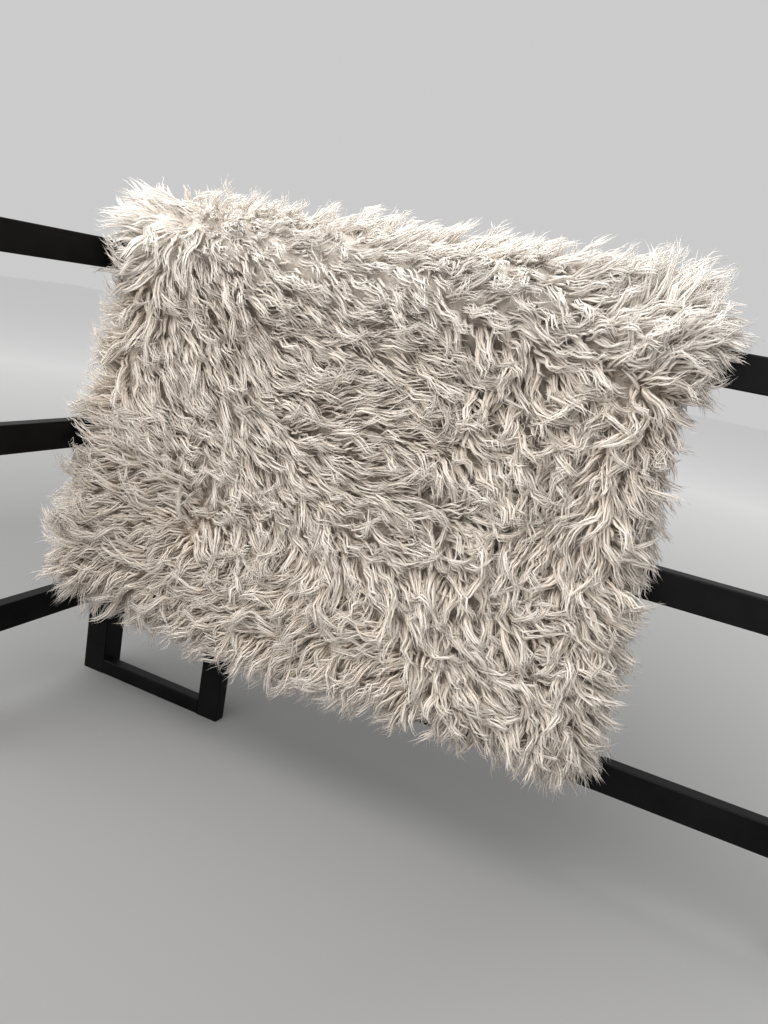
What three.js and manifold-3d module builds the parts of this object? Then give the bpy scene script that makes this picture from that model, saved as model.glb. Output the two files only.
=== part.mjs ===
// A shaggy wool rug, folded once over the top rail of a plain steel railing that turns a corner.
// X runs along the railing, the front is towards -Y, and Z is up.
// The origin lies on the floor under the middle of the corner post. Lengths are in millimetres.
import * as THREE from 'three';
import Module from 'manifold-3d';

const wasm = await Module();
wasm.setup();

const GAP = 0.3; // free space between pieces that touch on the real thing

// Railing
const BAR = { high: 60, deep: 30, corner: 3 };
const POST = { wide: 60, tall: 1080, corner: 3 };
const SLIM_POST = { left: 311, wide: 56 };
const END_POST_LEFT = 1570; // near face of the post that ends the run
const RETURN_POST_BACK = -420; // near face of the post that ends the short return
const BASE_BAR_HIGH = 35;
const RAILS = [
  { level: 'top', top: 1010, overSlimPost: true },
  { level: 'mid', top: 628, overSlimPost: false },
  { level: 'low', top: 246, overSlimPost: false },
];

// Rug: the edges of its woven backing, and how long its pile stands
const RAIL_TOP = RAILS[0].top;
const RAIL_MIDDLE_Y = -BAR.deep / 2;
const BACKING = { left: 112, rightFront: 1104, rightBack: 1110 };
const PILE = { front: 90, top: 118, back: 76 };
const LUMPS = { small: 6.5, broad: 4 };
const FLARE = { front: 16, back: 12 }; // how far the hem hangs off the plane of the rails
const BEND = { from: 290, depth: 108, start: 120, span: 560 }; // left part, swung to the front

// The front half's left edge slants out past the post's front face as it falls
const LEFT_EDGE = [
  { drop: 0, x: 112 },
  { drop: 140, x: 76 },
  { drop: 420, x: 60 },
  { drop: 900, x: 50 },
];

// How far the hem of each half hangs below the arch, at places along the rug's width
const HEMS = {
  front: [
    { across: 0.0, drop: 650 },
    { across: 0.12, drop: 690 },
    { across: 0.35, drop: 722 },
    { across: 0.6, drop: 708 },
    { across: 0.85, drop: 690 },
    { across: 1.0, drop: 676 },
  ],
  back: [
    { across: 0.0, drop: 622 },
    { across: 0.3, drop: 648 },
    { across: 0.7, drop: 634 },
    { across: 1.0, drop: 646 },
  ],
};

// The arch of the backing over the rail: roll is 90 facing back and -90 facing front
const ARCH = [
  { roll: 90, dy: 17.6, dz: -16 },
  { roll: 64, dy: 17.4, dz: -1 },
  { roll: 40, dy: 14, dz: 2.4 },
  { roll: 20, dy: 9, dz: 2.4 },
  { roll: 7, dy: 5, dz: GAP },
  { roll: -7, dy: -5, dz: GAP },
  { roll: -20, dy: -9, dz: 2.4 },
  { roll: -40, dy: -14, dz: 2.4 },
  { roll: -64, dy: -17.4, dz: -1 },
  { roll: -90, dy: -17.6, dz: -16 },
];

// Main ridges and partings of the pile on the front half, each along a straight stretch
const COMBED = [
  { name: 'parting, upper', x0: 150, z0: 1090, x1: 300, z1: 870, width: 42, rise: -26 },
  { name: 'parting, lower', x0: 300, z0: 870, x1: 440, z1: 640, width: 42, rise: -28 },
  { name: 'parting, end', x0: 440, z0: 640, x1: 560, z1: 480, width: 40, rise: -20 },
  { name: 'tuft beside the post', x0: 60, z0: 1080, x1: 130, z1: 960, width: 60, rise: 14 },
  { name: 'left shoulder', x0: 90, z0: 820, x1: 250, z1: 560, width: 60, rise: 16 },
  { name: 'pocket under the shoulder', x0: 310, z0: 740, x1: 370, z1: 690, width: 48, rise: -15 },
  { name: 'upper middle swell', x0: 420, z0: 980, x1: 760, z1: 900, width: 80, rise: 14 },
  { name: 'middle swell', x0: 560, z0: 760, x1: 900, z1: 700, width: 90, rise: 10 },
  { name: 'middle trough', x0: 560, z0: 545, x1: 660, z1: 505, width: 40, rise: -16 },
  { name: 'curled lock', x0: 790, z0: 500, x1: 870, z1: 470, width: 44, rise: 16 },
  { name: 'lower swell', x0: 300, z0: 360, x1: 900, z1: 330, width: 80, rise: 10 },
  { name: 'arc under the corner tuft', x0: 990, z0: 1030, x1: 1150, z1: 1082, width: 34, rise: -26 },
  { name: 'corner fan', x0: 1040, z0: 985, x1: 1140, z1: 1030, width: 46, rise: 16 },
  { name: 'swirl', x0: 1100, z0: 930, x1: 1140, z1: 900, width: 48, rise: 12 },
  { name: 'right ridge', x0: 1120, z0: 860, x1: 1115, z1: 480, width: 46, rise: 14 },
  { name: 'crease beside the ridge', x0: 985, z0: 790, x1: 1060, z1: 640, width: 40, rise: -24 },
];

// Rounded rim: how far the pile fans out past the backing's edge, as a share of its height.
// On the left the corner post and the return rails press it in.
const PRESSED_LEFT = 0.7;
const FAN = [
  { lift: 0, reach: 0.66 },
  { lift: 35, reach: 0.76 },
  { lift: 65, reach: 0.92 },
];
const HEM_TURNS = [
  { under: 14, lift: 66, share: 0.95 },
  { under: 38, lift: 48, share: 0.86 },
  { under: 60, lift: 32, share: 0.76 },
];
const WALL_STEPS = { front: 16, back: 13 };
const INNER_COLUMNS = 12;
const OUTER_COLUMNS = 27;

// Locks of yarn at the rim, on narrow strips just off the slab
const STRIP = { thick: 14, lift: 17, rootDepth: 9 };
const LEAN = { margin: 18, clear: 8, between: -24 };
const LOCK = { width: 16, hemCount: 44, hemReach: 60, sideReach: 48, splay: 0.55 };

const WOOL = { color: 0xd9d0c3, roughness: 0.95, metalness: 0 };
const STEEL = { color: 0x101114, roughness: 0.45, metalness: 0.35 };

const rad = THREE.MathUtils.degToRad;
const lerp = THREE.MathUtils.lerp;
const ease = (v) => THREE.MathUtils.smoothstep(v, 0, 1);
const vec = (x, y, z) => new THREE.Vector3(x, y, z);
const along = (start, ...moves) =>
  moves.reduce((point, [direction, far]) => point.addScaledVector(direction, far), start.clone());

// Straight lines between the rows of a short table
function readTable(rows, at, key, value) {
  const next = Math.max(1, rows.findIndex((row) => row[at] >= key));
  const [a, b] = [rows[next - 1], rows[next]];
  return lerp(a[value], b[value], (key - a[at]) / (b[at] - a[at]));
}

// Railing
function roundedBar(wide, deep, length, corner) {
  const [x, y] = [wide / 2, deep / 2];
  const outline = new THREE.Shape();
  outline.absarc(x - corner, y - corner, corner, 0, Math.PI / 2);
  outline.absarc(corner - x, y - corner, corner, Math.PI / 2, Math.PI);
  outline.absarc(corner - x, corner - y, corner, Math.PI, 1.5 * Math.PI);
  outline.absarc(x - corner, corner - y, corner, 1.5 * Math.PI, 2 * Math.PI);
  return new THREE.ExtrudeGeometry(outline, { depth: length, bevelEnabled: false, curveSegments: 3 });
}

function steelMesh(name, geometry) {
  const mesh = new THREE.Mesh(geometry, new THREE.MeshStandardMaterial(STEEL));
  mesh.name = name;
  return mesh;
}

function runBar(name, from, to, top, high = BAR.high) {
  const mesh = steelMesh(name, roundedBar(high, BAR.deep, to - from, BAR.corner));
  mesh.rotation.y = Math.PI / 2;
  mesh.position.set(from, RAIL_MIDDLE_Y, top - high / 2);
  return mesh;
}

function returnBar(name, from, to, top) {
  const mesh = steelMesh(name, roundedBar(BAR.deep, BAR.high, from - to, BAR.corner));
  mesh.rotation.x = Math.PI / 2;
  mesh.position.set(-POST.wide / 2 + BAR.deep / 2, from, top - BAR.high / 2);
  return mesh;
}

function post(name, x, y, wide, deep, tall) {
  const mesh = steelMesh(name, roundedBar(wide, deep, tall, POST.corner));
  mesh.position.set(x, y, 0);
  return mesh;
}

function makeRailing() {
  const railing = new THREE.Group();
  const half = POST.wide / 2;
  const runStart = half + GAP;
  const runEnd = END_POST_LEFT - GAP;
  const slimRight = SLIM_POST.left + SLIM_POST.wide;
  for (const { level, top, overSlimPost } of RAILS) {
    if (overSlimPost) {
      railing.add(runBar(`${level}_rail`, runStart, runEnd, top));
    } else {
      railing.add(runBar(`${level}_rail_short`, runStart, SLIM_POST.left - GAP, top));
      railing.add(runBar(`${level}_rail_long`, slimRight + GAP, runEnd, top));
    }
    railing.add(returnBar(`return_${level}_rail`, -half - GAP, RETURN_POST_BACK + GAP, top));
  }
  const slimTall = RAIL_TOP - BAR.high - GAP;
  railing.add(runBar('base_bar', runStart, SLIM_POST.left - GAP, BASE_BAR_HIGH, BASE_BAR_HIGH));
  railing.add(post('corner_post', 0, 0, POST.wide, POST.wide, POST.tall));
  const slimMiddle = (SLIM_POST.left + slimRight) / 2;
  railing.add(post('slim_post', slimMiddle, RAIL_MIDDLE_Y, SLIM_POST.wide, BAR.deep, slimTall));
  railing.add(post('end_post', END_POST_LEFT + half, 0, POST.wide, POST.wide, POST.tall));
  railing.add(post('return_post', 0, RETURN_POST_BACK - half, POST.wide, POST.wide, POST.tall));
  return railing;
}

// Rug. A station is one place along the drape, from the back hem over the rail to the front hem.
function makeStations() {
  const stations = [];
  const wall = (half, side) => {
    const roll = side * -90;
    const list = [];
    for (let step = 1; step <= WALL_STEPS[half]; step += 1) {
      list.push({ half, side, roll, fall: step / WALL_STEPS[half], under: 0, lift: 90, share: 1 });
    }
    for (const turn of HEM_TURNS) {
      list.push({ half, side, roll, fall: 1, ...turn });
    }
    return list;
  };
  stations.push(...wall('back', -1).reverse());
  for (const row of ARCH) {
    stations.push({ half: 'arch', side: -row.roll / 90, ...row, fall: 0, under: 0, lift: 90, share: 1 });
  }
  stations.push(...wall('front', 1));
  return stations;
}

const hemDrop = (station, across) => (
  station.half === 'arch' ? 0 : readTable(HEMS[station.half], 'across', across, 'drop')
);

// The face of the woven backing that lies against the rail
function backingPoint(station, across) {
  const towardsFront = (station.side + 1) / 2;
  const drop = station.fall * hemDrop(station, across);
  const swing = station.half === 'front' ? ease((drop - BEND.start) / BEND.span) : 0;
  const left = station.half === 'front' ? readTable(LEFT_EDGE, 'drop', drop, 'x') : BACKING.left;
  const right = lerp(BACKING.rightBack, BACKING.rightFront, towardsFront);
  const x = lerp(left, right, across);
  if (station.half === 'arch') {
    return vec(x, RAIL_MIDDLE_Y + station.dy, RAIL_TOP + station.dz);
  }
  const end = station.side > 0 ? ARCH[ARCH.length - 1] : ARCH[0];
  const flare = FLARE[station.half] * station.fall ** 2;
  const wave = 4 * station.fall * (1 + Math.sin(x / 95 + station.side));
  const bend = BEND.depth * swing * Math.max(0, (BEND.from - x) / BEND.from) ** 1.7;
  const y = RAIL_MIDDLE_Y + end.dy - station.side * (flare + wave) - bend;
  return vec(x, y, RAIL_TOP + end.dz - drop);
}

// Unit directions at a point of the backing: down the drape, across it, and out into the pile
function directions(station, across) {
  const roll = rad(station.roll);
  const down = vec(0, -Math.cos(roll), Math.sin(roll));
  const step = 0.01;
  const from = Math.max(0, across - step);
  const to = Math.min(1, across + step);
  const right = backingPoint(station, to).sub(backingPoint(station, from)).setZ(0).normalize();
  const out = down.clone().cross(right).normalize();
  const lift = rad(station.lift);
  const pile = vec(0, 0, 0).addScaledVector(out, Math.sin(lift));
  const hemward = down.clone().multiplyScalar(station.half === 'back' ? -1 : 1);
  pile.addScaledVector(hemward, Math.cos(lift));
  return { down: hemward, right, out, pile };
}

function nearStretch(x, z, row) {
  const [dx, dz] = [row.x1 - row.x0, row.z1 - row.z0];
  const t = THREE.MathUtils.clamp(((x - row.x0) * dx + (z - row.z0) * dz) / (dx * dx + dz * dz), 0, 1);
  const far = Math.hypot(x - row.x0 - t * dx, z - row.z0 - t * dz);
  return Math.exp(-((far / row.width) ** 2));
}

// Height of the pile: longer over the rail, with the combed ridges and partings and small lumps
function pileHeight(station, point) {
  const towardsFront = (station.side + 1) / 2;
  const sidelong = Math.sin(point.x / 21 + 1.9 * Math.sin(point.z / 57));
  const small = LUMPS.small * sidelong * Math.cos(point.z / 24 + point.x / 71);
  const lump = small + LUMPS.broad * Math.sin(point.x / 47 - point.z / 33);
  const overRail = Math.cos(rad(station.roll));
  const hanging = lerp(PILE.back, PILE.front, towardsFront);
  let height = lerp(hanging, PILE.top, overRail) + lump;
  const shownZ = point.z + PILE.front * overRail;
  if (station.side > 0) {
    height += COMBED.reduce((sum, row) => sum + row.rise * nearStretch(point.x, shownZ, row), 0);
  }
  return height * station.share;
}

// One closed ring of the slab: inner face, right rim, outer face, left rim
function slabRing(station) {
  const ring = [];
  const edge = (across, side) => {
    const { down, right, pile } = directions(station, across);
    const base = along(backingPoint(station, across), [down, station.under]);
    const height = pileHeight(station, base) * (side < 0 ? PRESSED_LEFT : 1);
    return FAN.map(({ lift, reach }) => along(
      base,
      [right, side * height * reach * Math.cos(rad(lift))],
      [pile, height * reach * Math.sin(rad(lift))],
    ));
  };
  for (let i = 0; i < INNER_COLUMNS; i += 1) {
    const across = i / (INNER_COLUMNS - 1);
    ring.push(along(backingPoint(station, across), [directions(station, across).down, station.under]));
  }
  ring.push(...edge(1, 1));
  for (let i = OUTER_COLUMNS - 1; i >= 0; i -= 1) {
    const across = i / (OUTER_COLUMNS - 1);
    const base = backingPoint(station, across);
    ring.push(along(base, [directions(station, across).pile, pileHeight(station, base)]));
  }
  ring.push(...edge(0, -1).reverse());
  return ring;
}

// Places in a ring of the rim's outer band, on both sides
const RIGHT_BAND = [INNER_COLUMNS, INNER_COLUMNS + 1];
const LEFT_BAND = [INNER_COLUMNS + OUTER_COLUMNS + 4, INNER_COLUMNS + OUTER_COLUMNS + 5];

// A closed skin through rings of equally many points, with a cap at both ends
function loft(rings, caps) {
  const count = rings[0].length;
  const triangles = [];
  for (let i = 0; i + 1 < rings.length; i += 1) {
    for (let j = 0; j < count; j += 1) {
      const k = (j + 1) % count;
      const [a, b, c, d] = [i * count + j, i * count + k, (i + 1) * count + k, (i + 1) * count + j];
      triangles.push([a, b, c], [a, c, d]);
    }
  }
  const last = (rings.length - 1) * count;
  for (const [i, j, k] of caps(rings[0])) {
    triangles.push([k, j, i]);
  }
  for (const [i, j, k] of caps(rings[rings.length - 1])) {
    triangles.push([last + i, last + j, last + k]);
  }
  return solid(rings.flat(), triangles);
}

// Triangles between the inner row of a slab ring and the rest of it, walked side by side along X
function capBand(ring) {
  const faces = [];
  let near = 0;
  let far = ring.length - 1;
  while (near + 1 < INNER_COLUMNS || far > INNER_COLUMNS) {
    const nextNear = near + 1 < INNER_COLUMNS ? ring[near + 1].x : Infinity;
    const nextFar = far > INNER_COLUMNS ? ring[far - 1].x : Infinity;
    if (nextNear <= nextFar) {
      faces.push([near, near + 1, far]);
      near += 1;
    } else {
      faces.push([near, far - 1, far]);
      far -= 1;
    }
  }
  return faces;
}

const capFan = (ring) => ring.slice(2).map((_, i) => [0, i + 1, i + 2]);

// Points and triangles as a closed solid whose faces point out
function solid(points, triangles) {
  const wedge = ([a, b, c]) => points[a].dot(points[b].clone().cross(points[c]));
  const volume = triangles.reduce((sum, triangle) => sum + wedge(triangle), 0);
  const faces = volume < 0 ? triangles.map(([a, b, c]) => [a, c, b]) : triangles;
  const mesh = new wasm.Mesh({
    numProp: 3,
    vertProperties: new Float32Array(points.flatMap((p) => p.toArray())),
    triVerts: new Uint32Array(faces.flat()),
  });
  return new wasm.Manifold(mesh);
}

function woolMesh(name, body) {
  const { vertProperties, triVerts } = body.getMesh();
  const geometry = new THREE.BufferGeometry();
  geometry.setAttribute('position', new THREE.BufferAttribute(vertProperties, 3));
  geometry.setIndex(new THREE.BufferAttribute(triVerts, 1));
  const mesh = new THREE.Mesh(geometry, new THREE.MeshStandardMaterial(WOOL));
  mesh.name = name;
  return mesh;
}

// A lock of yarn: a three-sided taper that starts inside its strip and sags towards its tip
function makeLock(root, heading, reach) {
  const aside = Math.abs(heading.z) > 0.9 ? vec(1, 0, 0) : vec(0, 0, 1);
  const u = heading.clone().cross(aside).normalize();
  const v = heading.clone().cross(u).normalize();
  const corner = (centre, size, turn) => along(
    centre,
    [u, size * Math.cos(rad(turn))],
    [v, size * Math.sin(rad(turn))],
  );
  const middle = along(root, [heading, reach * 0.55]).add(vec(0, 0, -0.03 * reach));
  const tip = along(root, [heading, reach]).add(vec(0, 0, -0.16 * reach));
  const ring = (centre, size) => [0, 120, 240].map((turn) => corner(centre, size, turn));
  const points = [...ring(root, LOCK.width / 2), ...ring(middle, LOCK.width / 3), tip];
  const triangles = [[2, 1, 0]];
  for (let i = 0; i < 3; i += 1) {
    const k = (i + 1) % 3;
    triangles.push([i, k, 3 + k], [i, 3 + k, 3 + i], [3 + i, 3 + k, 6]);
  }
  return solid(points, triangles);
}

// How far left a lock may lean: off the corner post and the return rails, and out between them
function leftLimit(y, z) {
  if (Math.abs(y) < POST.wide / 2 + LEAN.margin) {
    return POST.wide / 2 + LEAN.clear;
  }
  const besideRail = RAILS.some(({ top }) => z > top - BAR.high - LEAN.margin && z < top + LEAN.margin);
  return besideRail ? LEAN.clear : LEAN.between;
}

// From -1 to 1, never repeating
const uneven = (i) => Math.sin(i * 2.4) * 0.6 + Math.sin(i * 5.1 + 1) * 0.4;

// The strip under a hem is the slab's end face carried outwards, with locks that fan from it
function makeHemRim(name, station, ring) {
  const { down, out } = directions(station, 0.5);
  const off = vec(0, 0, 0).addScaledVector(down, Math.cos(rad(STRIP.lift)));
  off.addScaledVector(out, Math.sin(rad(STRIP.lift)));
  const carried = (far) => ring.map((p) => along(p, [off, far]));
  let body = loft([carried(GAP), carried(STRIP.thick)], capBand);
  for (let i = 0; i < LOCK.hemCount; i += 1) {
    const across = (i + 0.5) / LOCK.hemCount;
    const frame = directions(station, across);
    const base = backingPoint(station, across);
    const inner = along(base, [frame.down, station.under]);
    const outer = along(base, [frame.pile, pileHeight(station, base)]);
    const root = along(inner.lerp(outer, i % 2 ? 0.66 : 0.34), [off, STRIP.rootDepth]);
    const lift = rad(i % 2 ? 44 + 8 * uneven(i) : 8 + 6 * uneven(i));
    const heading = along(
      vec(0, 0, 0),
      [frame.down, Math.cos(lift)],
      [frame.out, Math.sin(lift)],
      [frame.right, LOCK.splay * (2 * across - 1) ** 3 + 0.12 * uneven(i + 3)],
    ).normalize();
    const reach = LOCK.hemReach * (1 + 0.16 * uneven(i + 7));
    heading.setX(Math.max(heading.x, (leftLimit(root.y, root.z) - root.x) / reach)).normalize();
    body = body.add(makeLock(root, heading, reach));
  }
  return woolMesh(name, body);
}

// The strip beside an edge follows the slab's rim from station to station
function makeSideRim(name, side, stations, rings, lifts) {
  const band = side > 0 ? RIGHT_BAND : LEFT_BAND;
  const places = stations.map((station, i) => {
    const frame = directions(station, side > 0 ? 1 : 0);
    const beside = frame.right.clone().multiplyScalar(side);
    const lift = rad(STRIP.lift);
    const off = along(vec(0, 0, 0), [beside, Math.cos(lift)], [frame.pile, Math.sin(lift)]);
    const [a, b] = band.map((k) => rings[i][k]);
    return { a, b, off, beside, pile: frame.pile };
  });
  const sections = places.map(({ a, b, off }) => [
    along(a, [off, GAP]),
    along(b, [off, GAP]),
    along(b, [off, STRIP.thick]),
    along(a, [off, STRIP.thick]),
  ]);
  let body = loft(sections, capFan);
  places.forEach(({ a, b, off, beside, pile }, i) => {
    const halfway = i + 1 < places.length && stations[i].half !== 'arch' ? [0, 0.5] : [0];
    for (const part of i === 0 ? halfway.slice(-1) : halfway) {
      const index = 2 * i + 2 * part;
      const next = places[part ? i + 1 : i];
      const middle = a.clone().lerp(b, 0.5).lerp(next.a.clone().lerp(next.b, 0.5), part);
      const root = along(middle, [off, STRIP.rootDepth]);
      const lift = rad(lerp(lifts.low, lifts.high, index % 2) + 7 * uneven(index));
      const outward = along(vec(0, 0, 0), [beside, Math.cos(lift)], [pile, Math.sin(lift)]);
      const heading = outward.addScaledVector(vec(0, 0, -1), 0.18);
      const reach = lifts.reach * (1 + 0.16 * uneven(index + 2));
      heading.normalize();
      if (side < 0) {
        heading.setX(Math.max(heading.x, (leftLimit(root.y, root.z) - root.x) / reach)).normalize();
      }
      body = body.add(makeLock(root, heading, reach));
    }
  });
  return woolMesh(name, body);
}

function makeRug() {
  const rug = new THREE.Group();
  const stations = makeStations();
  const rings = stations.map(slabRing);
  const last = stations.length - 1;
  rug.add(woolMesh('rug', loft(rings, capBand)));
  rug.add(makeHemRim('rim_back_hem', stations[0], rings[0]));
  rug.add(makeHemRim('rim_front_hem', stations[last], rings[last]));
  const stretch = (half) => stations.flatMap((s, i) => (s.half === half && s.under === 0 ? [i] : []));
  const freeSide = { low: 4, high: 46, reach: LOCK.sideReach };
  const besidePost = { low: 62, high: 84, reach: LOCK.sideReach * 0.9 };
  const sides = [
    { name: 'rim_back_left', half: 'back', side: -1, lifts: besidePost },
    { name: 'rim_back_right', half: 'back', side: 1, lifts: freeSide },
    { name: 'rim_top_left', half: 'arch', side: -1, lifts: besidePost },
    { name: 'rim_top_right', half: 'arch', side: 1, lifts: freeSide },
    { name: 'rim_front_left', half: 'front', side: -1, lifts: { ...freeSide, low: 40, high: 74 } },
    { name: 'rim_front_right', half: 'front', side: 1, lifts: freeSide },
  ];
  for (const { name, half, side, lifts } of sides) {
    const picks = stretch(half);
    rug.add(makeSideRim(name, side, picks.map((i) => stations[i]), picks.map((i) => rings[i]), lifts));
  }
  return rug;
}

const object = new THREE.Group();
object.add(makeRailing(), makeRug());
export default object;
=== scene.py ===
# %% [markdown]
# # A shaggy wool rug over a railing
# The rug is woven from thick wool, with a long pile of loosely spun yarn. It hangs folded over the
# top rail of a plain steel railing, and the pile is most of what shows. This lesson dresses the
# finished railing and builds the rug around it: first the light, then the steel, then the woven
# backing, the dense wool near it, and last the locks of yarn that make the rug's surface.

# %% Load the frame
import math

import bpy
import numpy as np
from mathutils import Matrix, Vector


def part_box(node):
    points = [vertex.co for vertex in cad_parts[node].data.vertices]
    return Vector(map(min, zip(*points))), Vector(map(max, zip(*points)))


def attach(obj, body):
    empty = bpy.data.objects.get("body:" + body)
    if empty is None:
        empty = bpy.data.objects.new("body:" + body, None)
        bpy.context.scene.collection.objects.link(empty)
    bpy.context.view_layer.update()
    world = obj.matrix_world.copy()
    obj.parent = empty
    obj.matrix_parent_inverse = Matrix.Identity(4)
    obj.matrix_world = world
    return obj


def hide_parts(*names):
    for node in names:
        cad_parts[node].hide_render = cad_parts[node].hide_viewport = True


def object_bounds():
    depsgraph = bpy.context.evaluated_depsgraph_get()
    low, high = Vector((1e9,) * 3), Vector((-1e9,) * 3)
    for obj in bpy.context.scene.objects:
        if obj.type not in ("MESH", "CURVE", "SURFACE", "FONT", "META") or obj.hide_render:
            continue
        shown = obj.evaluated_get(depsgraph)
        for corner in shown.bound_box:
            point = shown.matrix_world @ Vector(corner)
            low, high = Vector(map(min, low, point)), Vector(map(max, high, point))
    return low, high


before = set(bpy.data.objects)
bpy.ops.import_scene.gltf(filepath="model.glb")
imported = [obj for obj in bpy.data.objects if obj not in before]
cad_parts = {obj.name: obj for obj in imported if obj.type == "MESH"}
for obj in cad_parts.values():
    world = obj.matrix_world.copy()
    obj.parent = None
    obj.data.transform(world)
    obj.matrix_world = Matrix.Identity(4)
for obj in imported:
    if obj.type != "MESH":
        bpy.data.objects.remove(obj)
CAD_BOX = [list(corner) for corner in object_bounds()]
print("nodes:", len(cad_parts), "box:", np.round(CAD_BOX, 3).tolist())

# %% [markdown]
# ## Floor, light and camera
# A pale floor and a bright, even surround keep the studio plain. One broad light stands high on the
# left, a second hangs over the rail so that the pile's crest is the brightest part, and a weak one
# in front softens the gaps between the locks. The camera stands where the railing's edges say it
# stood: its three sets of parallel edges give the lens and the tilt, and the bars' known size gives
# the distance.

# %% Helpers for materials
Z_UP = (0, 0, 1)


def new_material(name):
    material = bpy.data.materials.new(name)
    material.use_nodes = True
    tree = material.node_tree
    return material, tree, tree.nodes["Principled BSDF"]


def fill_in(node, **values):
    """Sets a node's sockets and settings by name: socket names have capitals, settings don't."""
    for name, value in values.items():
        label = name.replace("_", " ")
        if label in node.inputs:
            node.inputs[label].default_value = value
        else:
            setattr(node, name, value)
    return node


def add_node(tree, kind, **values):
    return fill_in(tree.nodes.new(kind), **values)


def ramp(tree, factor, stops):
    """A colour ramp with the given (place, colour) stops. One number stands for a grey."""
    node = tree.nodes.new("ShaderNodeValToRGB")
    while len(node.color_ramp.elements) < len(stops):
        node.color_ramp.elements.new(0.5)
    for element, (place, colour) in zip(node.color_ramp.elements, stops):
        element.position = place
        element.color = (*np.broadcast_to(colour, 3).tolist(), 1)
    tree.links.new(factor, node.inputs["Fac"])
    return node.outputs["Color"]


def raise_bumps(tree, shader, height, strength, distance):
    """Lets a texture's value shape the surface as bumps up to `distance` metres high."""
    bump = add_node(tree, "ShaderNodeBump", Strength=strength, Distance=distance)
    tree.links.new(height, bump.inputs["Height"])
    tree.links.new(bump.outputs["Normal"], shader.inputs["Normal"])


def stand_at(thing, place, right, up, back):
    """Stands a lamp or a camera at a place with the three axes, and puts it into the scene."""
    rows = zip(np.stack([right, up, back], 1), place)
    thing.matrix_world = Matrix([(*row, p) for row, p in rows] + [(0, 0, 0, 1)])
    bpy.context.scene.collection.objects.link(thing)


print("helpers are ready")

# %% Set the stage
FLOOR_HALF = 14.0
FLOOR_Z = -0.0005
FLOOR_GREYS = [(0.08, 0.23), (0.18, 0.42), (0.38, 0.90)]
SURROUND = 0.60
RUG_MIDDLE = (0.6, -0.05, 0.7)
LIGHTS = {
    "key": dict(place=(-0.9, -1.9, 3.0), size=5.0, watts=98, tint=(1.0, 0.99, 0.975)),
    "crest": dict(place=(0.3, -0.9, 3.2), size=5.0, watts=168, tint=(1.0, 0.99, 0.98)),
    "front": dict(place=(0.0, -3.0, 1.2), size=3.0, watts=22, tint=(1.0, 0.99, 0.98)),
}


def pale_floor():
    """Matt grey under the railing that fades with distance to the brightness of the surround."""
    material, tree, shader = new_material("pale floor")
    place = add_node(tree, "ShaderNodeTexCoord")
    far = add_node(tree, "ShaderNodeVectorMath", operation="LENGTH")
    tree.links.new(place.outputs["Object"], far.inputs[0])
    share = add_node(tree, "ShaderNodeMath", operation="DIVIDE")
    tree.links.new(far.outputs["Value"], share.inputs[0])
    share.inputs[1].default_value = FLOOR_HALF
    tree.links.new(ramp(tree, share.outputs["Value"], FLOOR_GREYS), shader.inputs["Base Color"])
    fill_in(shader, Roughness=0.9, Specular_IOR_Level=0.1)
    return material


def make_floor():
    signs = ((-1, -1), (1, -1), (1, 1), (-1, 1))
    corners = [(x * FLOOR_HALF, y * FLOOR_HALF, FLOOR_Z) for x, y in signs]
    mesh = bpy.data.meshes.new("floor")
    mesh.from_pydata(corners, [], [(0, 1, 2, 3)])
    mesh.materials.append(pale_floor())
    floor = bpy.data.objects.new("floor", mesh)
    bpy.context.scene.collection.objects.link(floor)


def make_light(name, place, size, watts, tint):
    """A square lamp that looks at the middle of the rug."""
    light = bpy.data.lights.new(name, "AREA")
    light.shape = "SQUARE"
    light.size = size
    light.energy = watts
    light.color = tint
    ray = np.subtract(RUG_MIDDLE, place)
    ray = ray / np.linalg.norm(ray)
    side = np.cross(ray, Z_UP)
    side = side / np.linalg.norm(side)
    stand_at(bpy.data.objects.new(name, light), place, side, np.cross(side, ray), -ray)


def make_world():
    world = bpy.data.worlds.new("studio")
    world.use_nodes = True
    background = world.node_tree.nodes["Background"]
    fill_in(background, Color=(SURROUND, SURROUND, SURROUND, 1), Strength=1.0)
    bpy.context.scene.world = world


make_floor()
make_world()
bpy.context.scene.view_settings.view_transform = "Standard"
for name, values in LIGHTS.items():
    make_light(name, **values)
print("lights:", list(LIGHTS))

# %% Place the camera
PHOTO_HEIGHT = 1024
FOCAL_PIXELS = 840.3
SENSOR_MM = 36
NEAREST = 0.05
CAMERA = dict(place=(1.303, -1.515, 0.992), yaw=-22.65, pitch=14.06, roll=10.46)


def make_camera(place, yaw, pitch, roll):
    """Looks along +Y turned by yaw, dips by pitch, and then rolls about its own line of sight."""
    yaw, pitch, roll = np.radians([yaw, pitch, roll])
    level_ahead = np.array([math.sin(yaw), math.cos(yaw), 0])
    ahead = math.cos(pitch) * level_ahead - math.sin(pitch) * np.array(Z_UP)
    level = np.array([math.cos(yaw), -math.sin(yaw), 0])
    above = np.cross(level, ahead)
    right = math.cos(roll) * level + math.sin(roll) * above
    up = -math.sin(roll) * level + math.cos(roll) * above
    data = bpy.data.cameras.new("camera")
    data.sensor_width = SENSOR_MM
    data.lens = FOCAL_PIXELS / PHOTO_HEIGHT * SENSOR_MM
    data.clip_start = NEAREST
    camera = bpy.data.objects.new("camera", data)
    stand_at(camera, place, right, up, -ahead)
    bpy.context.scene.camera = camera
    print("lens:", round(data.lens, 2), "mm")


make_camera(**CAMERA)

# %% [markdown]
# ## The steel railing
# The bars and posts are box tube with a satin black powder coat. Powder coat is never quite flat:
# it has a fine orange-peel surface and slightly uneven gloss, and dust dulls it in places. The
# shapes are right as they come, so each bar only gets this finish.

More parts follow.
